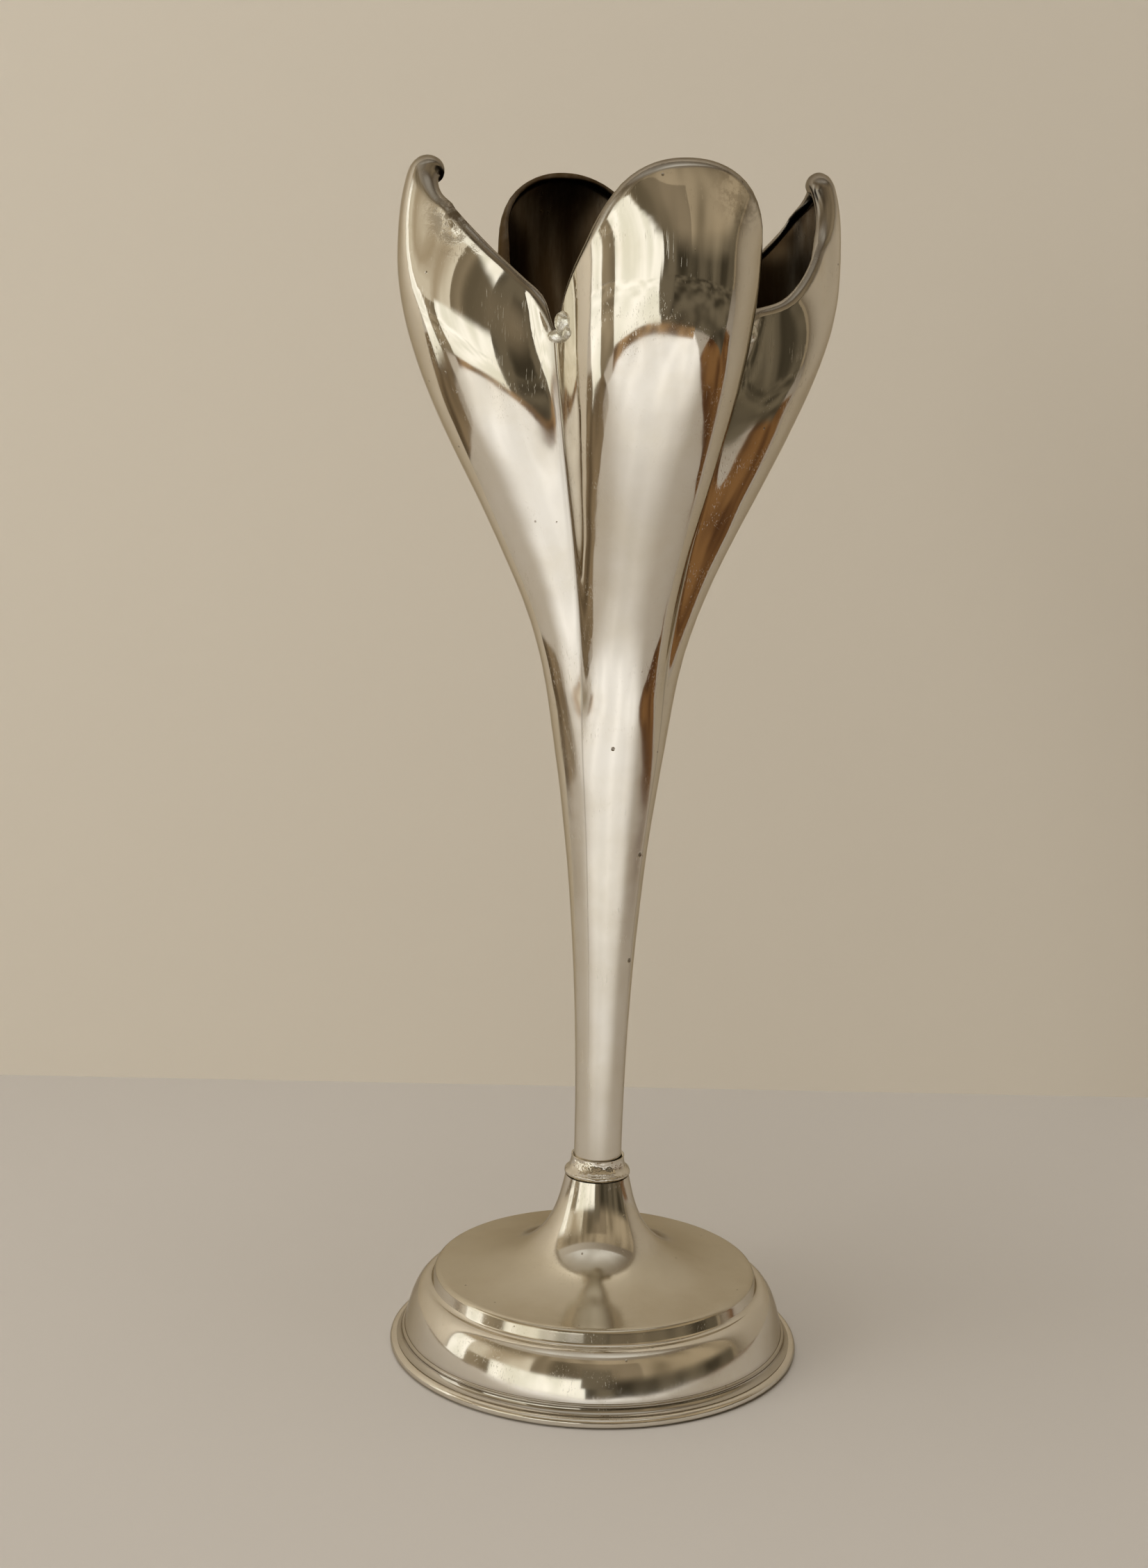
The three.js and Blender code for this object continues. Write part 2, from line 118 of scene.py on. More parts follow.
LIP_TURN_TIP = 245.0
LIP_TURN_SIDE = 80.0
LIP_TURN_NOTCH = 4.0
LIP_TIP_SPAN = 14
LIP_NOTCH_SPAN = 10
TWIST_RISE = 14.0
SLOPE_STEP = 0.05

# Each petal's quarter and its hand work: how far it sways and twists, the drops of its shoulder, tongue and
# cut-away side, the depth and reach of its hollow, the share of a full scroll that its tip has, and the radii
# of its bend along the sides and of its curl at the tip
PETALS = {
    "front": {
        "quarter": 0, "sway": 0, "twist": 0, "shoulder": 4.8, "scroll": 0.2,
        "tongue": 0, "cutaway": 0, "hollow": 0, "reach": 12, "bend": 2.1, "curl": 2.5,
    },
    "right": {
        "quarter": 1, "sway": 0, "twist": -3, "shoulder": 8.2, "scroll": 1,
        "tongue": 2, "cutaway": 5.5, "hollow": 2.8, "reach": 17, "bend": 1.3, "curl": 2.5,
    },
    "back": {
        "quarter": 2, "sway": 1.3, "twist": 0, "shoulder": 5.2, "scroll": 0.2,
        "tongue": 0, "cutaway": 0, "hollow": 0, "reach": 12, "bend": 2.1, "curl": 2.5,
    },
    "left": {
        "quarter": 3, "sway": 0, "twist": 0, "shoulder": 5.8, "scroll": 1,
        "tongue": 4.2, "cutaway": 0, "hollow": 3.4, "reach": 18, "bend": 1.3, "curl": 3.1,
    },
}

# Rows and columns of a petal's mesh
BODY_ROWS = 56
LIP_ROWS = 18
RIM_ROWS = 6
OUTSIDE_ROWS = BODY_ROWS + LIP_ROWS
INSIDE_ROWS = OUTSIDE_ROWS + RIM_ROWS
PETAL_ROWS = INSIDE_ROWS + OUTSIDE_ROWS
PETAL_COLUMNS = 64
ROW_CROWDING = 1.5
COLUMN_CROWDING = 0.6

# Painted shade on a petal, lifted by a painted highlight inside its rim, and darkening along its seams:
# tones, and spans in rows of its line, degrees from its crest and millimetres of height
# Painted shade on the inside
INSIDE_FADE_ROWS = 6
# A painted highlight: how much the painted shade is lifted in a band just inside the rim, and the band's rows
PAINTED_RIM_HIGHLIGHT = 0.5
PAINTED_RIM_HIGHLIGHT_ROWS = 5
# Painted shade on the scroll at the tip
SCROLL_TONE = 0.7
SCROLL_TONE_SPAN = 15
SCROLL_TONE_FADE = 8
SCROLL_TONE_LEAD = 4
SCROLL_TONE_ROWS = 12
# Darker along the seam valleys
VALLEY_TONE = 0.3
VALLEY_NARROW = 1.5
VALLEY_WIDENING = 2.5
VALLEY_WIDENS_AT = 80
VALLEY_WIDENS_OVER = 20
VALLEY_STARTS_AT = 10
VALLEY_STARTS_OVER = 40
# Painted shade on the lip
LIP_TONE = 0.6
LIP_TONE_LEAD = 1
LIP_TONE_ROWS = 5

# Ripple left on a petal by hand work, in millimetres: long waves and short ones
RIPPLE = 0.2
RIPPLE_LENGTH = 13
SHORT_RIPPLE = 0.04
SHORT_RIPPLE_LENGTH = 4.5
RIPPLE_STARTS_AT = 20
RIPPLE_GROWS_OVER = 80

# Solder: lumps in millimetres, each a place and three radii, before a turn to its notch
SOLDER_LUMPS = {
    "solder_front_right": [
        ((0.3, -22.9, 175.3), (1.5, 1.1, 1.5)),
        ((-0.6, -22.6, 173.2), (0.8, 0.7, 1.0)),
    ],
    "solder_right_back": [
        ((-0.2, -22.8, 175.2), (1.6, 1.1, 1.4)),
        ((0.6, -22.5, 173.5), (0.8, 0.7, 0.8)),
    ],
    "solder_back_left": [
        ((0.2, -22.8, 175.4), (1.5, 1.1, 1.6)),
        ((-0.3, -22.5, 173.3), (0.9, 0.7, 1.0)),
    ],
    "solder_left_front": [
        ((3.2, -24.2, 176.6), (1.9, 1.2, 1.6)),
        ((4.2, -24.6, 175.2), (1.0, 0.9, 1.2)),
        ((1.2, -23.3, 174.2), (1.5, 0.9, 1.1)),
    ],
}
CHANNEL_BEAD = [((0.2, -13.1, 141.3), (0.6, 0.5, 1.0))]
CHANNEL_QUARTER = 3.5
LUMP = 0.28
LUMP_SCALE = 620
LUMP_GRAIN = 0.08
LUMP_GRAIN_SCALE = 1900

# Where the photograph was taken from
VIEW_TURN = math.radians(-16.5)
CAMERA_DISTANCE = 0.4128
CAMERA_HEIGHT = 0.1823
CAMERA_PITCH = math.radians(11.309)
CAMERA_YAW = math.radians(-0.804)
CAMERA_ROLL = math.radians(1.516)
LENS = 57.42
SENSOR = 36
NEAREST = 0.01


# Curves and meshes

def smooth(t):
    t = min(max(t, 0.0), 1.0)
    return t * t * (3 - 2 * t)


def through(stations, x):
    """A smooth curve through stations of place, value and slope."""
    i = 0
    while i < len(stations) - 2 and x > stations[i + 1][0]:
        i += 1
    x0, y0, m0 = stations[i]
    x1, y1, m1 = stations[i + 1]
    span = x1 - x0
    t = min(max((x - x0) / span, 0.0), 1.0)
    near = (1 - t) * (1 - t)
    far = t * t
    start = (1 + 2 * t) * near * y0 + t * near * span * m0
    return start + (3 - 2 * t) * far * y1 + (t - 1) * far * span * m1


def arc(centre, radii, start, end, steps):
    """Points of an ellipse's arc, in degrees."""
    points = []
    for i in range(steps + 1):
        turn = math.radians(start + (end - start) * i / steps)
        points.append((centre[0] + radii[0] * math.cos(turn), centre[1] + radii[1] * math.sin(turn)))
    return points


def bezier(p0, p1, p2, p3, steps):
    points = []
    for i in range(steps + 1):
        t = i / steps
        shares = ((1 - t) ** 3, 3 * t * (1 - t) ** 2, 3 * t * t * (1 - t), t ** 3)
        points.append(tuple(sum(s * p[k] for s, p in zip(shares, (p0, p1, p2, p3))) for k in (0, 1)))
    return points


def soften(mesh, crease=None):
    """Smooth shading, apart from edges that are sharper than a crease in degrees."""
    for face in mesh.faces:
        face.smooth = True
    if crease:
        for edge in mesh.edges:
            edge.smooth = edge.calc_face_angle(0) < math.radians(crease)


def finish_mesh(mesh, name):
    data = bpy.data.meshes.new(name)
    mesh.to_mesh(data)
    mesh.free()
    piece = bpy.data.objects.new(name, data)
    bpy.context.scene.collection.objects.link(piece)
    return piece


# Petals

def edge_height(angle, shape):
    """The height of a petal's free edge, at an angle from its crest."""
    drops = [
        (0, 0, 0),
        (SHOULDER_ANGLE, shape["shoulder"], SHOULDER_SLOPE),
        (SEAM_ANGLE, NOTCH_DROP, NOTCH_SLOPE),
    ]
    away = abs(angle)
    tongue = shape["tongue"] * smooth(away / TONGUE_SPAN) * smooth((SEAM_ANGLE - away) / TONGUE_FADE)
    if angle < 0:
        tongue += shape["cutaway"] * smooth(away / TONGUE_SPAN) * smooth((SEAM_ANGLE - away) / CUTAWAY_FADE)
    return CREST_TOP - through(drops, away) - tongue


def skin(angle, height, shape):
    """A point of a petal's skin, at an angle from the crest and a height above the stem's lower end."""
    across = math.cos(math.radians(2 * angle))
    full = math.hypot(1, VALLEY_SOFTNESS) - VALLEY_SOFTNESS
    share = (math.hypot(across, VALLEY_SOFTNESS) - VALLEY_SOFTNESS) / full
    radius = through(CREST, height) - through(VALLEY, height) * (1 - share)
    away = abs(angle)
    flank = smooth((away - HOLLOW_START) / HOLLOW_SPAN) * smooth((SEAM_ANGLE - away) / HOLLOW_FADE)
    below = edge_height(angle, shape) - height
    radius -= shape["hollow"] * flank * smooth(1 - below / shape["reach"])
    turn = math.radians(angle)
    return Vector((radius * math.sin(turn), -radius * math.cos(turn), STEM_BOTTOM + height))


def skin_normal(angle, height, shape):
    """The skin's outward direction. Slopes are never taken from above the crest's top."""
    along = skin(angle + SLOPE_STEP, height, shape) - skin(angle - SLOPE_STEP, height, shape)
    highest = min(height + SLOPE_STEP, CREST_TOP)
    up = skin(angle, highest, shape) - skin(angle, height - SLOPE_STEP, shape)
    return along.cross(up).normalized()


def hand_bend(at, angle, shape):
    """A petal's upper part, turned about a line along its crest. The bend fades towards the seams."""
    rise = at.z - STEM_BOTTOM - NOTCH_HEIGHT
    share = smooth(1 - abs(angle) / SEAM_ANGLE) * smooth(rise / TWIST_RISE)
    crest = Vector((0, -BOWL_RADIUS, 0))
    bent = Matrix.Rotation(math.radians(shape["twist"]) * share, 3, "Z") @ (at - crest) + crest
    bent.x += shape["sway"] * share
    return bent


def petal_line(angle, shape):
    """The sheet's line at one angle: up the outside, round the edge of the lip and down the inside."""
    top = edge_height(angle, shape)
    skins = []
    for row in range(BODY_ROWS + 1):
        height = top * (1 - (1 - row / BODY_ROWS) ** ROW_CROWDING)
        skins.append((skin(angle, height, shape), skin_normal(angle, height, shape)))
    start, out = skins[-1]
    ahead = skin(angle + SLOPE_STEP, edge_height(angle + SLOPE_STEP, shape), shape)
    behind = skin(angle - SLOPE_STEP, edge_height(angle - SLOPE_STEP, shape), shape)
    outward = out.cross((ahead - behind).normalized()).normalized()
    tip = shape["scroll"] * smooth(1 - abs(angle) / LIP_TIP_SPAN)
    notch = smooth((SEAM_ANGLE - abs(angle)) / LIP_NOTCH_SPAN)
    full = LIP_TURN_SIDE + (LIP_TURN_TIP - LIP_TURN_SIDE) * tip
    full = math.radians(LIP_TURN_NOTCH + (full - LIP_TURN_NOTCH) * notch)
    bend = shape["bend"] + (shape["curl"] - shape["bend"]) * tip
    at = start
    for row in range(1, LIP_ROWS + 1):
        turn = full * (row - 0.5) / LIP_ROWS
        tighter = bend * (1 - LIP_TIGHTEN * tip * (row - 0.5) / LIP_ROWS)
        at = at + (outward * math.cos(turn) - out * math.sin(turn)) * (tighter * full / LIP_ROWS)
        turn = full * row / LIP_ROWS
        skins.append((at, out * math.cos(turn) + outward * math.sin(turn)))
    end, end_out = skins[-1]
    end_along = outward * math.cos(full) - out * math.sin(full)
    half = SHEET / 2
    line = [at for at, facing in skins]
    for row in range(1, RIM_ROWS):
        turn = math.pi * row / RIM_ROWS
        line.append(end - end_out * (half * (1 - math.cos(turn))) + end_along * (half * math.sin(turn)))
    line.extend(at - facing * SHEET for at, facing in reversed(skins))
    return line


def petal_painted_shade_and_seam_dark(angle, row, height, turned_in):
    """How dark a petal is painted: painted shade inside, from some rows before it, with a painted highlight
    just inside the rim; darker in the seam valleys; painted shade on the scroll and the lip.
    """
    # Painted shade on the inside, starting turned_in rows before it
    inside = smooth((row - OUTSIDE_ROWS + turned_in) / INSIDE_FADE_ROWS)
    # A painted highlight: the painted shade is lighter in a band just inside the rim
    inside *= 1 - PAINTED_RIM_HIGHLIGHT * smooth(1 - abs(row - INSIDE_ROWS - PAINTED_RIM_HIGHLIGHT_ROWS) / PAINTED_RIM_HIGHLIGHT_ROWS)
    # Painted shade on the scroll at the tip
    scroll = SCROLL_TONE * smooth((SCROLL_TONE_SPAN - abs(angle)) / SCROLL_TONE_FADE)
    scroll *= smooth((row - BODY_ROWS + SCROLL_TONE_LEAD) / SCROLL_TONE_ROWS)
    # Darker along the seam valleys, wider higher up
    width = VALLEY_NARROW + VALLEY_WIDENING * smooth((height - VALLEY_WIDENS_AT) / VALLEY_WIDENS_OVER)
    valley = VALLEY_TONE * smooth(1 - (SEAM_ANGLE - abs(angle)) / width)
    valley *= smooth((height - VALLEY_STARTS_AT) / VALLEY_STARTS_OVER)
    # Painted shade on the lip
    lip = LIP_TONE * smooth((row - BODY_ROWS + LIP_TONE_LEAD) / LIP_TONE_ROWS)
    return max(inside, valley, scroll, lip)


def petal_ripple(at, height):
    ripple = RIPPLE * noise.noise(at / RIPPLE_LENGTH)
    ripple += SHORT_RIPPLE * noise.noise(at / SHORT_RIPPLE_LENGTH)
    return ripple * smooth((height - RIPPLE_STARTS_AT) / RIPPLE_GROWS_OVER)


def make_petal(name, shape):
    mesh = bmesh.new()
    # Painted shade and seam darkening, one value a vertex
    painted_shade_and_seam_dark = mesh.verts.layers.float.new("painted_shade_and_seam_dark")
    bmesh.ops.create_grid(mesh, x_segments=PETAL_COLUMNS, y_segments=PETAL_ROWS, size=1)
    lines = {}
    places = {}
    turn = Matrix.Rotation(shape["quarter"] * math.pi / 2, 3, "Z")
    # The back petal's painted shade covers its whole lip too
    turned_in = LIP_ROWS if name == "back" else 0
    for vert in mesh.verts:
        u = round(vert.co.x, 5)
        row = round((vert.co.y + 1) / 2 * PETAL_ROWS)
        places[vert] = (u, row)
        angle = SEAM_ANGLE * (u - COLUMN_CROWDING * math.sin(2 * math.pi * u) / (2 * math.pi))
        if u not in lines:
            lines[u] = petal_line(angle, shape)
        at = hand_bend(lines[u][row], angle, shape)
        height = at.z - STEM_BOTTOM
        vert[painted_shade_and_seam_dark] = petal_painted_shade_and_seam_dark(angle, row, height, turned_in)
        at = turn @ at
        at += Vector((at.x, at.y, 0)).normalized() * petal_ripple(at, height)
        vert.co = at * MM
    # The seam sides, the ends of the lip and the lower end are closed between the two skins.
    sheet_faces = set(mesh.faces)
    lower_end = []
    for side in (-1, 1):
        skins = []
        for edge in mesh.edges:
            (u, row), (other_u, other_row) = (places[vert] for vert in edge.verts)
            on_skin = max(row, other_row) <= OUTSIDE_ROWS or min(row, other_row) >= INSIDE_ROWS
            if u == other_u == side and on_skin:
                skins.append(edge)
            elif side == 1 and row == other_row and row in (0, PETAL_ROWS):
                lower_end.append(edge)
        bmesh.ops.bridge_loops(mesh, edges=skins)
    bmesh.ops.bridge_loops(mesh, edges=lower_end)
    bmesh.ops.holes_fill(mesh, edges=[edge for edge in mesh.edges if edge.is_boundary], sides=0)
    bmesh.ops.recalc_face_normals(mesh, faces=mesh.faces)
    soften(mesh)
    for face in mesh.faces:
        if face not in sheet_faces:
            for edge in face.edges:
                edge.smooth = False
    return finish_mesh(mesh, "dressed_petal_" + name)


# Foot, collar, rim and felt

CREASE = 40
MERGE_DISTANCE = 1e-6
RING_STEPS = 192
COLLAR_STEPS = 120
FELT_STEPS = 120


def turned(name, outline, steps, uneven=0):
    """A closed outline of radius and height, turned about the vase's axis. It may be hand beaten uneven."""
    mesh = bmesh.new()
    corners = [mesh.verts.new((r * MM, 0, z * MM)) for r, z in outline]
    lines = [mesh.edges.new((corners[i - 1], corners[i])) for i in range(len(corners))]
    bmesh.ops.spin(
        mesh, geom=corners + lines, cent=(0, 0, 0), axis=(0, 0, 1),
        angle=2 * math.pi, steps=steps, use_merge=True,
    )
    bmesh.ops.remove_doubles(mesh, verts=mesh.verts, dist=MERGE_DISTANCE)
    for vert in mesh.verts:
        outward = Vector((vert.co.x, vert.co.y, 0)).normalized()
        vert.co += outward * (uneven * MM * noise.noise(vert.co * UNEVEN_SCALE))
    bmesh.ops.recalc_face_normals(mesh, faces=mesh.faces)
    soften(mesh, CREASE)
    return finish_mesh(mesh, name)


def make_foot():
    outline = bezier(*TRUMPET, TRUMPET_STEPS)
    facing = math.atan(RISER_LEAN / RISER_HEIGHT)
    edge_centre = (PLATE_RADIUS, PLATE_HEIGHT - PLATE_EDGE)
    edge = arc(edge_centre, (PLATE_EDGE, PLATE_EDGE), EDGE_START, math.degrees(facing), ROUNDING_STEPS)
    riser_foot = (edge[-1][0] + RISER_LEAN, edge[-1][1] - RISER_HEIGHT)
    ledge = riser_foot[0] + COVE * math.cos(facing)
    cove_height = riser_foot[1] + COVE * math.sin(facing)
    outline += edge
    cove_start = 180 + math.degrees(facing)
    outline += arc((ledge, cove_height), (COVE, COVE), cove_start, 270, ROUNDING_STEPS)
    crown = (ledge + OVOLO_CROWN, cove_height - COVE)
    fall = (OVOLO_FOOT_RADIUS - OVOLO_LEAN, OVOLO_FOOT_HEIGHT + OVOLO_FALL)
    ovolo_foot = (OVOLO_FOOT_RADIUS, OVOLO_FOOT_HEIGHT)
    ovolo = bezier((ledge, cove_height - COVE), crown, fall, ovolo_foot, OVOLO_STEPS)
    outline += ovolo[1:]
    bead_centre = (OVOLO_FOOT_RADIUS, BEAD_HEIGHT)
    outline += arc(bead_centre, (BEAD_RADIUS, BEAD_RADIUS), *BEAD_TURN, BEAD_STEPS)
    outline += bezier(*FLANGE, ROUNDING_STEPS)
    outline += [FLANGE_UNDERSIDE, (SKIRT_RADIUS, SKIRT_BOTTOM)]
    outline += [(SKIRT_RADIUS - FOOT_WALL, SKIRT_BOTTOM), (SKIRT_RADIUS - FOOT_WALL, BEAD_HEIGHT)]
    inner_crown = (crown[0] - INNER_CROWN_BACK, crown[1] - FOOT_WALL)
    inner_fall = (fall[0] - FOOT_WALL, fall[1])
    inner_foot = (SKIRT_RADIUS - FOOT_WALL - INNER_FOOT_BACK, OVOLO_FOOT_HEIGHT)
    inner_ledge = (ledge - INNER_ROUND, cove_height - COVE - FOOT_WALL)
    outline += bezier(inner_foot, inner_fall, inner_crown, inner_ledge, ROUNDING_STEPS)
    outline.append((riser_foot[0] - FOOT_WALL, riser_foot[1]))
    outline.append((PLATE_RADIUS - INNER_ROUND, PLATE_HEIGHT - FOOT_WALL - INNER_ROUND))
    outline += bezier(*INNER_TRUMPET, INNER_TRUMPET_STEPS)
    outline += [(SOCKET_RADIUS, SOCKET_BOTTOM), (SOCKET_RADIUS, NECK_HEIGHT)]
    return turned("dressed_foot_shell", outline, RING_STEPS)


def make_collar():
    outline = [(COLLAR_BORE, COLLAR_BOTTOM)]
    outline += arc(*COLLAR_BEAD)
    outline += arc(*COLLAR_WAIST)
    outline += arc(*COLLAR_LIP)
    outline += [(COLLAR_BORE, COLLAR_TOP)]
    return turned("dressed_collar", outline, COLLAR_STEPS, COLLAR_UNEVEN)


def make_rim():
    centre = (FOOT_RADIUS - RIM_WIRE_RADIUS, RIM_WIRE_RADIUS)
    last = 270 - 360 / RIM_SIDES
    outline = arc(centre, (RIM_WIRE_RADIUS, RIM_WIRE_RADIUS), -90, last, RIM_SIDES - 1)
    return turned("dressed_rim_wire", outline, RING_STEPS)


def make_felt():
    """The felt disc glued under the foot. Its lower edge is lifted a little and uneven."""
    low, high = FELT_HEIGHTS
    mesh = bmesh.new()
    bmesh.ops.create_circle(mesh, cap_ends=True, segments=FELT_STEPS, radius=FELT_RADIUS * MM)
    bmesh.ops.translate(mesh, vec=(0, 0, low * MM), verts=mesh.verts)
    grown = bmesh.ops.extrude_face_region(mesh, geom=list(mesh.faces))
    top = [item for item in grown["geom"] if isinstance(item, bmesh.types.BMVert)]
    bmesh.ops.translate(mesh, vec=(0, 0, (high - low) * MM), verts=top)
    for vert in mesh.verts:
        if vert.co.z < (low + high) / 2 * MM:
            lift = FELT_LIFT - FELT_NAP * noise.noise(vert.co * FELT_NAP_SCALE)
            vert.co.z = max(vert.co.z + lift * MM, 0)
    bmesh.ops.recalc_face_normals(mesh, faces=mesh.faces)
    soften(mesh, CREASE)
    return finish_mesh(mesh, "dressed_baize_pad")


# Solder

def make_solder(name, lumps, quarter):
    """Lumps of solder that ran together, turned about the vase to their place."""
    turn = math.pi / 2 * quarter
    mesh = bmesh.new()
    for place, radii in lumps:
        shape = Matrix.Rotation(turn, 4, "Z") @ Matrix.Translation(Vector(place) * MM)
        shape = shape @ Matrix.Diagonal([r * MM for r in radii] + [1])
        bmesh.ops.create_icosphere(mesh, subdivisions=4, radius=1, matrix=shape)
    for vert in mesh.verts:
        lump = noise.noise(vert.co * LUMP_SCALE) * LUMP + noise.noise(vert.co * LUMP_GRAIN_SCALE) * LUMP_GRAIN
        vert.co += vert.normal * (lump * MM)
    soften(mesh)
    return finish_mesh(mesh, name)


# Finishes: colours, places in millimetres with their reach, and heights and radii in metres

SILVER = (0.8, 0.765, 0.7, 1)
SILVER_YELLOWED = (0.72, 0.66, 0.54, 1)
SILVER_EDGE = (0.6, 0.55, 0.46, 1)
PLATE_YELLOWED = (0.68, 0.63, 0.52, 1)
PLATE_CLOUD = (0.5, 0.42, 0.3, 1)
# Tarnish in pits and nicks; also painted shade on the petals and darkening in the foot's groove
TARNISH_AND_PAINTED_SHADE = (0.085, 0.058, 0.034, 1)
WRINKLE_BROWN = (0.22, 0.17, 0.11, 1)
SOLDER_BRIGHT = (0.92, 0.92, 0.87, 1)
SOLDER_DULL = (0.6, 0.57, 0.48, 1)
TIN_DARK = (0.42, 0.4, 0.37, 1)
TIN_PALE = (0.6, 0.58, 0.54, 1)
PITCH_BLACK = (0.02, 0.017, 0.015, 1)
PITCH_BROWN = (0.05, 0.043, 0.036, 1)
BAIZE_DEEP = (0.012, 0.045, 0.026, 1)
BAIZE_GREEN = (0.04, 0.12, 0.07, 1)
BAIZE_WORN = (0.11, 0.13, 0.085, 1)

WRINKLED_PLACE = ((-31, -12, 193), 9)
MOTTLED_TIP = ((8, -33.5, 196), 7)
STEM_NICKS = [((4.24, -5.46, 88.8), 0.6), ((3.41, -3.96, 70.1), 0.55), ((-2.11, -9.22, 107.7), 0.4)]
STEM_SATIN = (0.135, 0.075)
PLATE_LEVEL = (0.0131, 0.0136)
PLATE_INNER_EDGE = (0.009, 0.0125)
GROOVE_LEVEL = (0.0042, 0.0034)
GROOVE_EDGE = (0.0325, 0.0333)

WIPING_TURNS = [(0.2, 0.5, 0.1), (1.1, -0.3, 0.8), (-0.7, 0.2, 2.0)]
WIPING_STRETCH = (5200, 5200, 130)
WIPING_ROUGHNESS = 0.12
SPOT_CORE = 0.4
PIT_CELLS = 620
PIT_WEIGHT = 3
FINE_RELIEF = 0.000008

# Sockets of a colour Mix node
MIX_FIRST = 6
MIX_SECOND = 7
MIX_RESULT = 2


class Finish:
    """A material's nodes, added one after another."""

    def __init__(self, name):
        self.material = bpy.data.materials.new(name)
        self.material.use_nodes = True
        self.tree = self.material.node_tree
        self.shader = self.tree.nodes["Principled BSDF"]
        self.place = self.add("ShaderNodeTexCoord").outputs["Object"]

    def add(self, kind, **settings):
        made = self.tree.nodes.new(kind)
        for key, value in settings.items():
            setattr(made, key, value)
        return made

    def wire(self, value, socket):
        if isinstance(value, bpy.types.NodeSocket):
            self.tree.links.new(value, socket)
        else:
            socket.default_value = value

    def scaled(self, scale, turn=(0, 0, 0)):
        mapping = self.add("ShaderNodeMapping")
        self.wire(self.place, mapping.inputs["Vector"])
        mapping.inputs["Scale"].default_value = scale
        mapping.inputs["Rotation"].default_value = turn
        return mapping.outputs["Vector"]

    def noise(self, scale, detail=4, rough=0.5, at=None, distortion=0):
        made = self.add("ShaderNodeTexNoise")
        self.wire(at or self.place, made.inputs["Vector"])
        made.inputs["Scale"].default_value = scale
        made.inputs["Detail"].default_value = detail
        made.inputs["Roughness"].default_value = rough
        made.inputs["Distortion"].default_value = distortion
        return made.outputs["Fac"]

    def ramp(self, value, low, high, start=0.0, end=1.0):
        made = self.add("ShaderNodeMapRange", interpolation_type="SMOOTHSTEP")
        self.wire(value, made.inputs["Value"])
        for key, number in (("From Min", low), ("From Max", high), ("To Min", start), ("To Max", end)):
            made.inputs[key].default_value = number
        return made.outputs["Result"]

    def math(self, operation, a, b):
        made = self.add("ShaderNodeMath", operation=operation)
        self.wire(a, made.inputs[0])
        self.wire(b, made.inputs[1])
        return made.outputs[0]

    def mix(self, share, a, b):
        made = self.add("ShaderNodeMix", data_type="RGBA")
        self.wire(share, made.inputs[0])
        self.wire(a, made.inputs[MIX_FIRST])
        self.wire(b, made.inputs[MIX_SECOND])
        return made.outputs[MIX_RESULT]

    def bump(self, height, distance, under=None):
        made = self.add("ShaderNodeBump")
        self.wire(height, made.inputs["Height"])
        made.inputs["Distance"].default_value = distance
        made.inputs["Strength"].default_value = 1
        if under:
            self.wire(under, made.inputs["Normal"])
        return made.outputs["Normal"]

    def near(self, spot, reach):
        """1 in the core of a spot, fading to 0 at its reach, both in millimetres."""
        made = self.add("ShaderNodeVectorMath", operation="DISTANCE")
        self.wire(self.place, made.inputs[0])
        made.inputs[1].default_value = [x * MM for x in spot]
        return self.ramp(made.outputs["Value"], reach * MM * SPOT_CORE, reach * MM, 1, 0)

    def parts(self):
        made = self.add("ShaderNodeSeparateXYZ")
        self.wire(self.place, made.inputs[0])
        return made.outputs

    def haze(self, scale):
        """Cloudy patches of age."""
        return self.ramp(self.noise(scale, 6, 0.62), 0.35, 0.72)

    def raised(self, base, *additions):
        """A value with shares of other values added to it."""
        total = base
        for value, share in additions:
            total = self.math("ADD", total, self.math("MULTIPLY", value, share))
        return total

    def tinted(self, colour, *layers):
        """A colour with other tones laid over it, each by a mask and a strength."""
        for mask, strength, tone in layers:
            colour = self.mix(self.math("MULTIPLY", mask, strength), colour, tone)
        return colour

    def shade(self, colour, rough, relief, plain):
        """Wires the shader. Plain sockets have one value all over."""
        self.wire(colour, self.shader.inputs["Base Color"])
        self.wire(rough, self.shader.inputs["Roughness"])
        self.wire(relief, self.shader.inputs["Normal"])
        for key, value in plain.items():
            self.shader.inputs[key].default_value = value
        return self.material


METAL = {"Metallic": 1}
SILVER_METAL = {"Metallic": 1, "Specular Tint": SILVER_EDGE}


def scratches(finish):
    """Thin wiping marks in three directions, 1 on a mark."""
    marks = None
    for turn in WIPING_TURNS:
        lines = finish.noise(1, 2, 0.5, at=finish.scaled(WIPING_STRETCH, turn))
        lines = finish.ramp(lines, 0.66, 0.74)
        marks = lines if marks is None else finish.math("MAXIMUM", marks, lines)
    sparse = finish.ramp(finish.noise(160, 3, 0.6), 0.46, 0.62)
    return finish.math("MULTIPLY", marks, sparse)


def pits(finish, share):
    """Small round pits in a share of the cells, 1 in a pit."""
    cells = finish.add("ShaderNodeTexVoronoi")
    finish.wire(finish.place, cells.inputs["Vector"])
    cells.inputs["Scale"].default_value = PIT_CELLS
    spot = finish.ramp(cells.outputs["Distance"], 0.06, 0.16, 1, 0)
    chosen = finish.add("ShaderNodeSeparateColor")
    finish.wire(cells.outputs["Color"], chosen.inputs[0])
    return finish.math("MULTIPLY", spot, finish.math("LESS_THAN", chosen.outputs[0], share))


def nicks(finish):
    """A few knocks on the stem, 1 in a nick."""
    deepest = None
    for spot, reach in STEM_NICKS:
        nick = finish.near(spot, reach)
        deepest = nick if deepest is None else finish.math("MAXIMUM", deepest, nick)
    return deepest


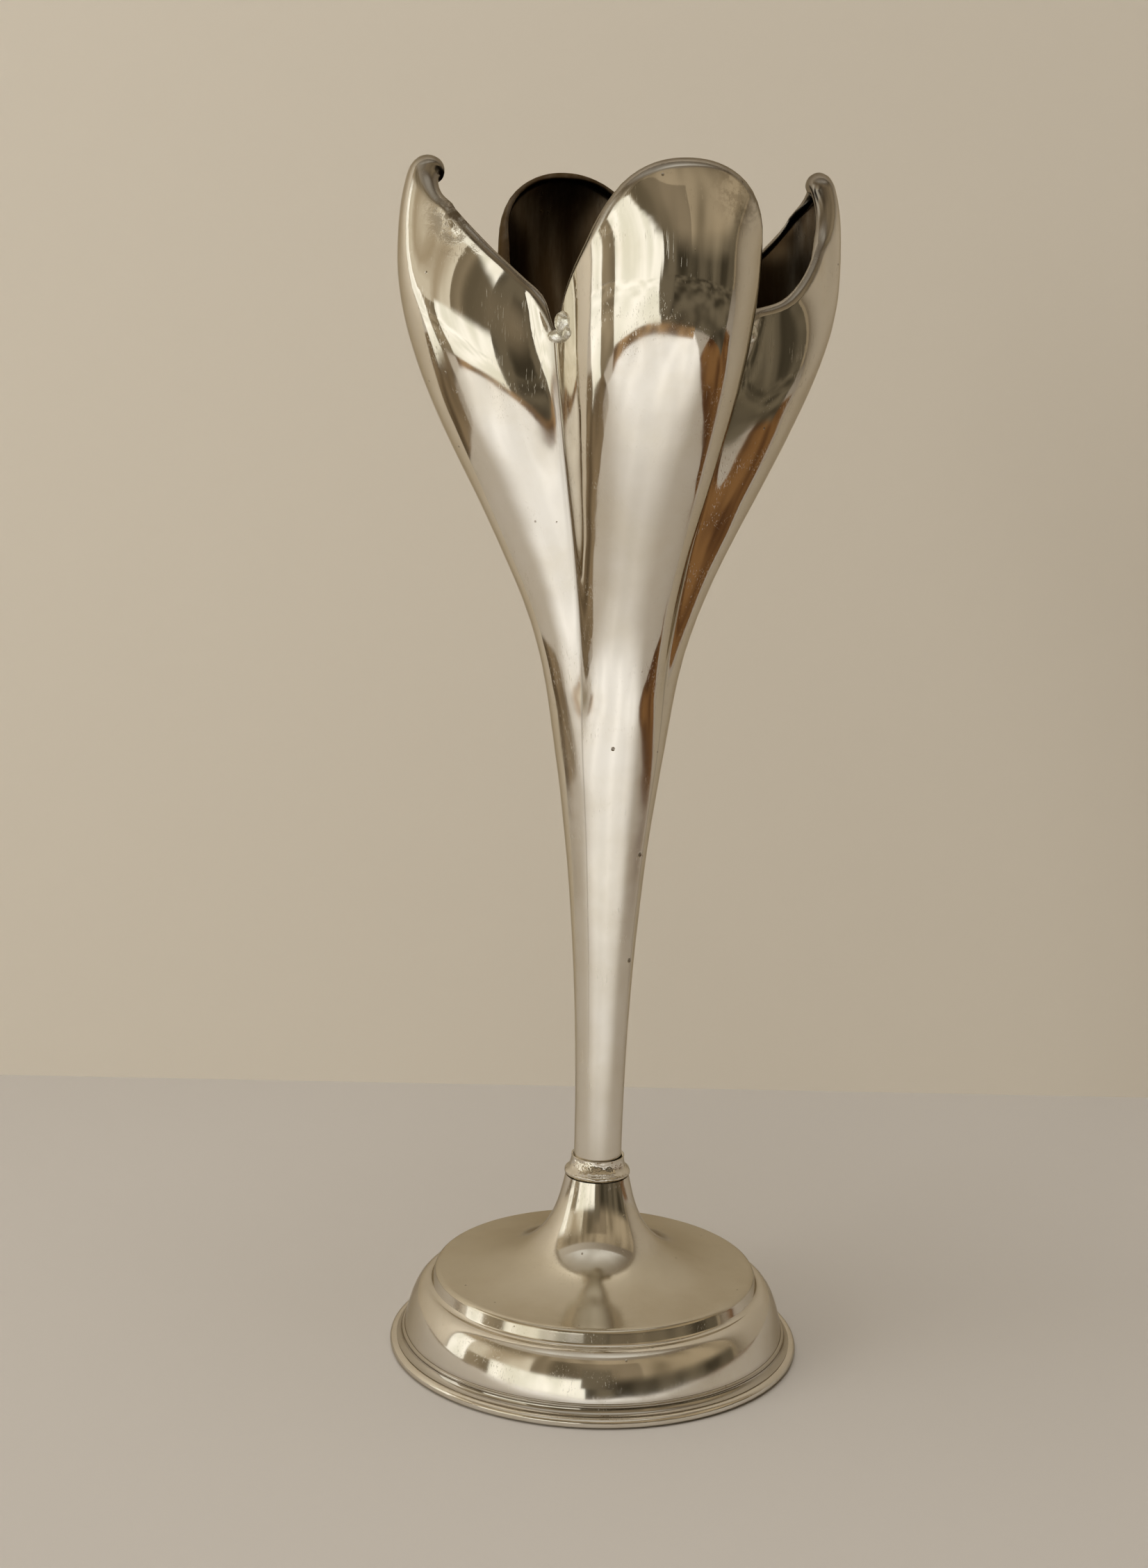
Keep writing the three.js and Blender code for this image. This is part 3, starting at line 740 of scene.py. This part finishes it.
def petal_silver():
    finish = Finish("worn_and_painted_shade_petal_silver")
    painted_shade_and_seam_dark = finish.add("ShaderNodeAttribute", attribute_name="painted_shade_and_seam_dark").outputs["Fac"]
    haze = finish.haze(70)
    marks = scratches(finish)
    pitted = pits(finish, 0.035)
    mottle = finish.ramp(finish.noise(420, 5, 0.7), 0.44, 0.6)
    patch = finish.math("MULTIPLY", finish.near(*WRINKLED_PLACE), mottle)
    tip_patch = finish.math("MULTIPLY", finish.near(*MOTTLED_TIP), mottle)
    nicked = nicks(finish)
    stem = finish.ramp(finish.parts()["Z"], *STEM_SATIN)
    colour = finish.tinted(
        SILVER,
        (haze, 0.5, SILVER_YELLOWED),
        (pitted, 0.6, TARNISH_AND_PAINTED_SHADE),
        (patch, 0.85, WRINKLE_BROWN),
        (tip_patch, 0.4, WRINKLE_BROWN),
        (nicked, 0.75, TARNISH_AND_PAINTED_SHADE),
    )
    streaks = finish.noise(1, 5, 0.6, at=finish.scaled((300, 300, 45)))
    # The petal's painted shade and seam darkening, laid on in streaks
    colour = finish.mix(
        finish.math("MULTIPLY", painted_shade_and_seam_dark, finish.ramp(streaks, 0.2, 0.6, 0.86, 1.0)), colour, TARNISH_AND_PAINTED_SHADE,
    )
    rough = finish.raised(
        0.05, (haze, 0.07), (marks, WIPING_ROUGHNESS), (stem, 0.12), (patch, 0.35), (painted_shade_and_seam_dark, 0.22),
    )
    relief = finish.bump(finish.noise(48, 2, 0.4), 0.00045)
    relief = finish.bump(finish.raised(marks, (pitted, PIT_WEIGHT)), FINE_RELIEF, relief)
    relief = finish.bump(nicked, -0.0001, relief)
    wrinkles = finish.math("MULTIPLY", patch, finish.noise(420, 3, 0.5, distortion=0.8))
    relief = finish.bump(wrinkles, 0.00007, relief)
    return finish.shade(colour, rough, relief, SILVER_METAL)


def foot_silver():
    """Polished mouldings and trumpet, with a satin top plate."""
    finish = Finish("satin_foot_silver")
    parts = finish.parts()
    flat = finish.add("ShaderNodeCombineXYZ")
    finish.wire(parts["X"], flat.inputs["X"])
    finish.wire(parts["Y"], flat.inputs["Y"])
    reach = finish.add("ShaderNodeVectorMath", operation="LENGTH")
    finish.wire(flat.outputs[0], reach.inputs[0])
    radius = reach.outputs["Value"]
    level = finish.ramp(parts["Z"], *PLATE_LEVEL)
    plate = finish.math("MULTIPLY", finish.ramp(radius, *PLATE_INNER_EDGE), level)
    # Darker low on the foot, where the ovolo meets the bead
    low = finish.ramp(parts["Z"], *GROOVE_LEVEL)
    grooves = finish.math("MULTIPLY", finish.ramp(radius, *GROOVE_EDGE), low)
    haze = finish.haze(80)
    marks = scratches(finish)
    pitted = pits(finish, 0.05)
    cloudy = finish.math("MULTIPLY", plate, finish.ramp(finish.noise(55, 5, 0.6), 0.4, 0.75))
    colour = finish.tinted(
        SILVER,
        (haze, 0.5, SILVER_YELLOWED),
        (plate, 0.75, PLATE_YELLOWED),
        (cloudy, 0.4, PLATE_CLOUD),
        (pitted, 0.55, TARNISH_AND_PAINTED_SHADE),
        (grooves, 0.35, TARNISH_AND_PAINTED_SHADE),
    )
    rough = finish.raised(0.07, (haze, 0.08), (plate, 0.04), (marks, WIPING_ROUGHNESS))
    relief = finish.bump(finish.noise(60, 2, 0.4), 0.0002)
    relief = finish.bump(finish.math("MULTIPLY", plate, finish.noise(2600, 3, 0.6)), 0.000006, relief)
    relief = finish.bump(finish.raised(marks, (pitted, PIT_WEIGHT)), FINE_RELIEF, relief)
    return finish.shade(colour, rough, relief, SILVER_METAL)


def ring_silver(name, unevenness):
    finish = Finish(name)
    haze = finish.haze(120)
    colour = finish.tinted(SILVER, (haze, 0.6, SILVER_YELLOWED))
    rough = finish.raised(0.09, (haze, 0.1), (scratches(finish), WIPING_ROUGHNESS))
    relief = finish.bump(finish.noise(420, 3, 0.5), unevenness)
    return finish.shade(colour, rough, relief, SILVER_METAL)


def solder_grey():
    finish = Finish("dull_solder")
    spread = finish.ramp(finish.noise(900, 5, 0.65), 0.35, 0.65)
    colour = finish.mix(spread, SOLDER_BRIGHT, SOLDER_DULL)
    rough = finish.ramp(spread, 0, 1, 0.16, 0.42)
    return finish.shade(colour, rough, finish.bump(finish.noise(1400, 4, 0.6), 0.00008), METAL)


def tinned_sheet():
    finish = Finish("tinned_sheet")
    crystals = finish.noise(260, 5, 0.6, distortion=1.2)
    colour = finish.mix(crystals, TIN_DARK, TIN_PALE)
    rough = finish.ramp(crystals, 0.3, 0.7, 0.35, 0.6)
    return finish.shade(colour, rough, finish.bump(crystals, 0.00006), METAL)


def cast_pitch():
    finish = Finish("cast_pitch")
    grain = finish.noise(500, 5, 0.6)
    colour = finish.mix(grain, PITCH_BLACK, PITCH_BROWN)
    rough = finish.ramp(grain, 0.3, 0.7, 0.55, 0.9)
    return finish.shade(colour, rough, finish.bump(grain, 0.0002), {})


def green_baize():
    finish = Finish("green_baize")
    nap = finish.noise(3800, 4, 0.7)
    worn = finish.ramp(finish.noise(90, 5, 0.6), 0.4, 0.75)
    colour = finish.tinted(finish.mix(nap, BAIZE_DEEP, BAIZE_GREEN), (worn, 0.45, BAIZE_WORN))
    return finish.shade(colour, 0.95, finish.bump(nap, 0.00035), {"Sheen Weight": 0.4})


# Assembly

COLLAR_RELIEF = 0.0006
RIM_RELIEF = 0.00006


def dress(piece, material, slot, *nodes):
    piece.data.materials.append(material)
    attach(piece, "root")
    if nodes:
        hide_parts(*nodes)
    return piece


silver_petal = petal_silver()
silver_foot = foot_silver()
solder = solder_grey()

for name, shape in PETALS.items():
    dress(make_petal(name, shape), silver_petal, "polished_silver", "petal_" + name)
dress(make_foot(), silver_foot, "satin_silver", "foot_shell")
dress(make_collar(), ring_silver("beaten_collar_silver", COLLAR_RELIEF), "polished_silver", "collar")
dress(make_rim(), ring_silver("worn_rim_silver", RIM_RELIEF), "polished_silver", "rim_wire")

for quarter, (name, lumps) in enumerate(SOLDER_LUMPS.items()):
    dress(make_solder("dressed_" + name, lumps, quarter + 0.5), solder, "solder", name)
dress(make_solder("channel_solder", CHANNEL_BEAD, CHANNEL_QUARTER), solder, "solder")

for node, material in {
    "stem_floor": tinned_sheet(),
    "base_plate": tinned_sheet(),
    "foot_loading": cast_pitch(),
}.items():
    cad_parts[node].data.materials.clear()
    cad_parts[node].data.materials.append(material)

felt = dress(make_felt(), green_baize(), "baize", "baize_pad")

# Stage: pale floor, beige backdrop, a window of light and cards for the metal to mirror

SET_TURN = Matrix.Rotation(VIEW_TURN, 4, "Z")
FLOOR = (0.52, 0.495, 0.465)
BACKDROP = (0.755, 0.71, 0.628)
DARK = (0.045, 0.036, 0.022)
DIM = (0.16, 0.13, 0.085)
NEAR_BLACK = (0.03, 0.024, 0.016)
OLIVE = (0.13, 0.102, 0.062)
PALE_OLIVE = (0.27, 0.212, 0.138)
TAN = (0.19, 0.147, 0.09)
PALE_TAN = (0.43, 0.345, 0.228)
CREAM = (0.76, 0.68, 0.53)
PANE = (1.0, 0.97, 0.82)
BRIGHT_PANE = (1.35, 1.3, 1.18)
CEILING = (0.54, 0.505, 0.435)
PALE_CEILING = (0.7, 0.665, 0.595)
BROWN = (0.1, 0.068, 0.037)
PALE_BROWN = (0.25, 0.18, 0.105)
RED_BROWN = (0.07, 0.03, 0.012)
PALE_RED_BROWN = (0.22, 0.11, 0.04)
EDGE_BROWN = (0.13, 0.07, 0.03)
PALE_EDGE_BROWN = (0.42, 0.26, 0.125)
CLOTH = (0.98, 0.945, 0.89)
PALE_CLOTH = (1.18, 1.14, 1.08)
WORLD_LEFT = (0.5, 0.44, 0.35, 1)
WORLD_RIGHT = (0.19, 0.15, 0.105, 1)
WORLD_SPREAD = 0.7
WINDOW_LIGHT = (1, 0.97, 0.91)
CEILING_LIGHT = (1, 0.98, 0.95)
LAMP_TARGET = (0, 0, 0.1)

# Heights of what lies on the floor and of the ceiling, and the distance at which the ground starts, in metres
CLOTH_LEVEL = 0.0003
GROUND_LEVEL = 0.0006
EDGE_LEVEL = 0.0009
LYING_BELOW = 0.002
CEILING_LEVEL = 1.25
GROUND_START = 0.39

# Directions and distances that the walls share with the ground before them
WINDOW_SIDES = (-62, -3)
TALL_WINDOW_SIDES = (-95, -80)
DIM_SIDES = (-3, 92)
WINDOW_DISTANCE = 1.28
TALL_WINDOW_DISTANCE = 1.27
DIM_DISTANCE = 1.29

SWEEP_STEPS = 24


def stage_sheet(name, wide, high, place, facing, colour):
    """A flat sheet that faces a point of the stage. It can't be seen from behind."""
    mesh = bmesh.new()
    bmesh.ops.create_grid(mesh, x_segments=1, y_segments=1, size=0.5)
    bmesh.ops.scale(mesh, vec=(wide, high, 1), verts=mesh.verts)
    sheet = finish_mesh(mesh, name)
    direction = Vector(facing) - Vector(place)
    turn = direction.to_track_quat("Z", "Y").to_matrix().to_4x4()
    sheet.matrix_world = SET_TURN @ Matrix.Translation(place) @ turn
    material = bpy.data.materials.new(name)
    material.use_nodes = True
    tree = material.node_tree
    shader = tree.nodes["Principled BSDF"]
    shader.inputs["Base Color"].default_value = (*colour, 1)
    shader.inputs["Roughness"].default_value = 0.9
    shader.inputs["Specular IOR Level"].default_value = 0.1
    side = tree.nodes.new("ShaderNodeNewGeometry")
    clear = tree.nodes.new("ShaderNodeBsdfTransparent")
    either = tree.nodes.new("ShaderNodeMixShader")
    tree.links.new(side.outputs["Backfacing"], either.inputs[0])
    tree.links.new(shader.outputs[0], either.inputs[1])
    tree.links.new(clear.outputs[0], either.inputs[2])
    tree.links.new(either.outputs[0], tree.nodes["Material Output"].inputs["Surface"])
    sheet.data.materials.append(material)


def mirror_card(name, mesh, dark, pale, fade, streak):
    """A card that only the metal sees, in soft streaks between two tones. It may fade along one axis.

    A card that lies on the floor casts no shadow."""
    lying = max(vert.co.z for vert in mesh.verts) < LYING_BELOW
    card = finish_mesh(mesh, name)
    card.matrix_world = SET_TURN
    finish = Finish(name)
    streaks = finish.noise(1, 1, 0.5, at=finish.scaled((streak, streak, streak / 3)))
    tone = finish.mix(finish.ramp(streaks, 0.3, 0.7), (*dark, 1), (*pale, 1))
    finish.wire(tone, finish.shader.inputs["Emission Color"])
    finish.shader.inputs["Base Color"].default_value = (0, 0, 0, 1)
    finish.shader.inputs["Specular IOR Level"].default_value = 0
    finish.shader.inputs["Emission Strength"].default_value = 1
    if fade:
        axis, clear, full = fade
        finish.wire(finish.ramp(finish.parts()[axis], clear, full), finish.shader.inputs["Alpha"])
    card.data.materials.append(finish.material)
    card.visible_camera = False
    card.visible_diffuse = False
    card.visible_shadow = not lying


def swept_card(name, start, end, near, far, dark, pale, fade=None, streak=9):
    """A card swept about the vase between two directions, 0 being towards the camera and 90 its right.

    Its near and far lines are given by their distance from the vase and their height."""
    mesh = bmesh.new()
    turn = math.radians(start)
    across, ahead = math.sin(turn), -math.cos(turn)
    ends = [mesh.verts.new((reach * across, reach * ahead, high)) for reach, high in (near, far)]
    line = mesh.edges.new(ends)
    sweep = math.radians(end - start)
    bmesh.ops.spin(
        mesh, geom=[*ends, line], cent=(0, 0, 0), axis=(0, 0, 1), angle=sweep, steps=SWEEP_STEPS,
    )
    mirror_card(name, mesh, dark, pale, fade, streak)


def wall_card(name, start, end, distance, heights, dark, pale, fade=None, streak=9):
    low, high = heights
    swept_card(name, start, end, (distance, low), (distance, high), dark, pale, fade, streak)


def ground_card(name, start, end, distance, dark, pale, streak):
    """A swept card on the ground, from beyond the table out to a wall."""
    near = (GROUND_START, GROUND_LEVEL)
    swept_card(name, start, end, near, (distance, GROUND_LEVEL), dark, pale, None, streak)


def lying_card(name, left, right, near, far, dark, pale, fade=None, streak=9):
    mesh = bmesh.new()
    bmesh.ops.create_grid(mesh, x_segments=1, y_segments=1, size=0.5)
    bmesh.ops.scale(mesh, vec=(right - left, far - near, 1), verts=mesh.verts)
    middle = ((left + right) / 2, (near + far) / 2, CLOTH_LEVEL)
    bmesh.ops.translate(mesh, vec=middle, verts=mesh.verts)
    mirror_card(name, mesh, dark, pale, fade, streak)


def lamp(name, place, wide, high, power, colour):
    """A lamp aimed at the vase. The metal mirrors the cards in its place."""
    light = bpy.data.lights.new(name, "AREA")
    light.shape = "RECTANGLE"
    light.size = wide
    light.size_y = high
    light.energy = power
    light.color = colour
    holder = bpy.data.objects.new(name, light)
    bpy.context.scene.collection.objects.link(holder)
    turn = (Vector(LAMP_TARGET) - Vector(place)).to_track_quat("-Z", "Y").to_matrix().to_4x4()
    holder.matrix_world = SET_TURN @ Matrix.Translation(place) @ turn
    holder.visible_glossy = False


def light_room():
    """A world that goes from a pale left to a dim right."""
    world = bpy.data.worlds.new("room")
    bpy.context.scene.world = world
    world.use_nodes = True
    tree = world.node_tree
    direction = tree.nodes.new("ShaderNodeTexCoord").outputs["Generated"]
    aligned = tree.nodes.new("ShaderNodeMapping")
    aligned.inputs["Rotation"].default_value = (0, 0, -VIEW_TURN)
    sides = tree.nodes.new("ShaderNodeSeparateXYZ")
    share = tree.nodes.new("ShaderNodeMapRange")
    share.inputs["From Min"].default_value = -WORLD_SPREAD
    share.inputs["From Max"].default_value = WORLD_SPREAD
    tones = tree.nodes.new("ShaderNodeMix")
    tones.data_type = "RGBA"
    tones.inputs[MIX_FIRST].default_value = WORLD_LEFT
    tones.inputs[MIX_SECOND].default_value = WORLD_RIGHT
    tree.links.new(direction, aligned.inputs["Vector"])
    tree.links.new(aligned.outputs[0], sides.inputs[0])
    tree.links.new(sides.outputs["X"], share.inputs["Value"])
    tree.links.new(share.outputs[0], tones.inputs[0])
    tree.links.new(tones.outputs[MIX_RESULT], tree.nodes["Background"].inputs["Color"])


def place_camera():
    forward = Vector((
        math.sin(CAMERA_YAW) * math.cos(CAMERA_PITCH),
        math.cos(CAMERA_YAW) * math.cos(CAMERA_PITCH),
        -math.sin(CAMERA_PITCH),
    ))
    level = Vector((math.cos(CAMERA_YAW), -math.sin(CAMERA_YAW), 0))
    upright = level.cross(forward)
    across = level * math.cos(CAMERA_ROLL) + upright * math.sin(CAMERA_ROLL)
    upward = upright * math.cos(CAMERA_ROLL) - level * math.sin(CAMERA_ROLL)
    camera = bpy.data.objects.new("camera", bpy.data.cameras.new("camera"))
    bpy.context.scene.collection.objects.link(camera)
    camera.data.sensor_width = SENSOR
    camera.data.lens = LENS
    camera.data.clip_start = NEAREST
    stand = Matrix((across, upward, -forward)).transposed().to_4x4()
    camera.matrix_world = SET_TURN @ Matrix.Translation((0, -CAMERA_DISTANCE, CAMERA_HEIGHT)) @ stand
    bpy.context.scene.camera = camera


stage_sheet("floor", 6, 6, (0, 0, 0), (0, 0, 1), FLOOR)
stage_sheet("backdrop", 6, 3, (0, 0.142, 1.45), (0.04, -1, 1.45), BACKDROP)
swept_card(
    "ceiling_card", -130, 130, (0.02, CEILING_LEVEL), (0.9, CEILING_LEVEL),
    CEILING, PALE_CEILING, ("Y", 0.05, -0.65), 2,
)
wall_card("tan_wall", -95, 95, 1.33, (0, 1.3), TAN, PALE_TAN, streak=2)
wall_card("pale_wall", -80, -36, 1.3, (0.2, 1.0), PALE_TAN, CREAM, ("Z", 1.0, 0.5), 3)
wall_card("olive_wall", -26, 30, 1.31, (0, 0.85), OLIVE, PALE_OLIVE, ("X", -0.6, -0.42), 2)
wall_card("dim_wall", *DIM_SIDES, DIM_DISTANCE, (0, 0.36), DARK, DIM, ("Z", 0.36, 0.14), 3)
wall_card(
    "window_wall", *WINDOW_SIDES, WINDOW_DISTANCE, (0, 0.28),
    PANE, BRIGHT_PANE, ("Z", 0.28, 0.2), 4,
)
wall_card(
    "tall_window", *TALL_WINDOW_SIDES, TALL_WINDOW_DISTANCE, (0, 0.78),
    PANE, BRIGHT_PANE, ("Z", 0.78, 0.5), 4,
)
ground_card("window_ground", *WINDOW_SIDES, WINDOW_DISTANCE, PANE, BRIGHT_PANE, 4)
ground_card("tall_window_ground", *TALL_WINDOW_SIDES, TALL_WINDOW_DISTANCE, PANE, BRIGHT_PANE, 4)
ground_card("tan_ground", -80, -62, WINDOW_DISTANCE, TAN, PALE_TAN, 4)
ground_card("dark_ground", *DIM_SIDES, DIM_DISTANCE, DARK, DIM, 5)
wall_card("narrow_dark_card", -5, 11, 0.38, (0.03, 0.19), NEAR_BLACK, DIM, ("Z", 0.19, 0.11))
lying_card("brown_card_left", -0.52, -0.25, -0.1, 0.14, BROWN, PALE_BROWN)
lying_card("brown_card_right", 0.24, 0.56, -0.16, 0.12, RED_BROWN, PALE_RED_BROWN)
swept_card("table_edge", -62, 40, (0.34, EDGE_LEVEL), (0.4, EDGE_LEVEL), EDGE_BROWN, PALE_EDGE_BROWN)
lying_card("cloth_card", -0.3, 0.24, -0.335, -0.06, CLOTH, PALE_CLOTH, ("Y", -0.06, -0.2))
lamp("window", (-0.85, -0.55, 0.4), 0.7, 0.5, 3.8, WINDOW_LIGHT)
lamp("ceiling", (-0.1, -0.1, 1.2), 1, 1, 8.6, CEILING_LIGHT)
light_room()
place_camera()

bpy.context.scene.view_settings.view_transform = "Standard"
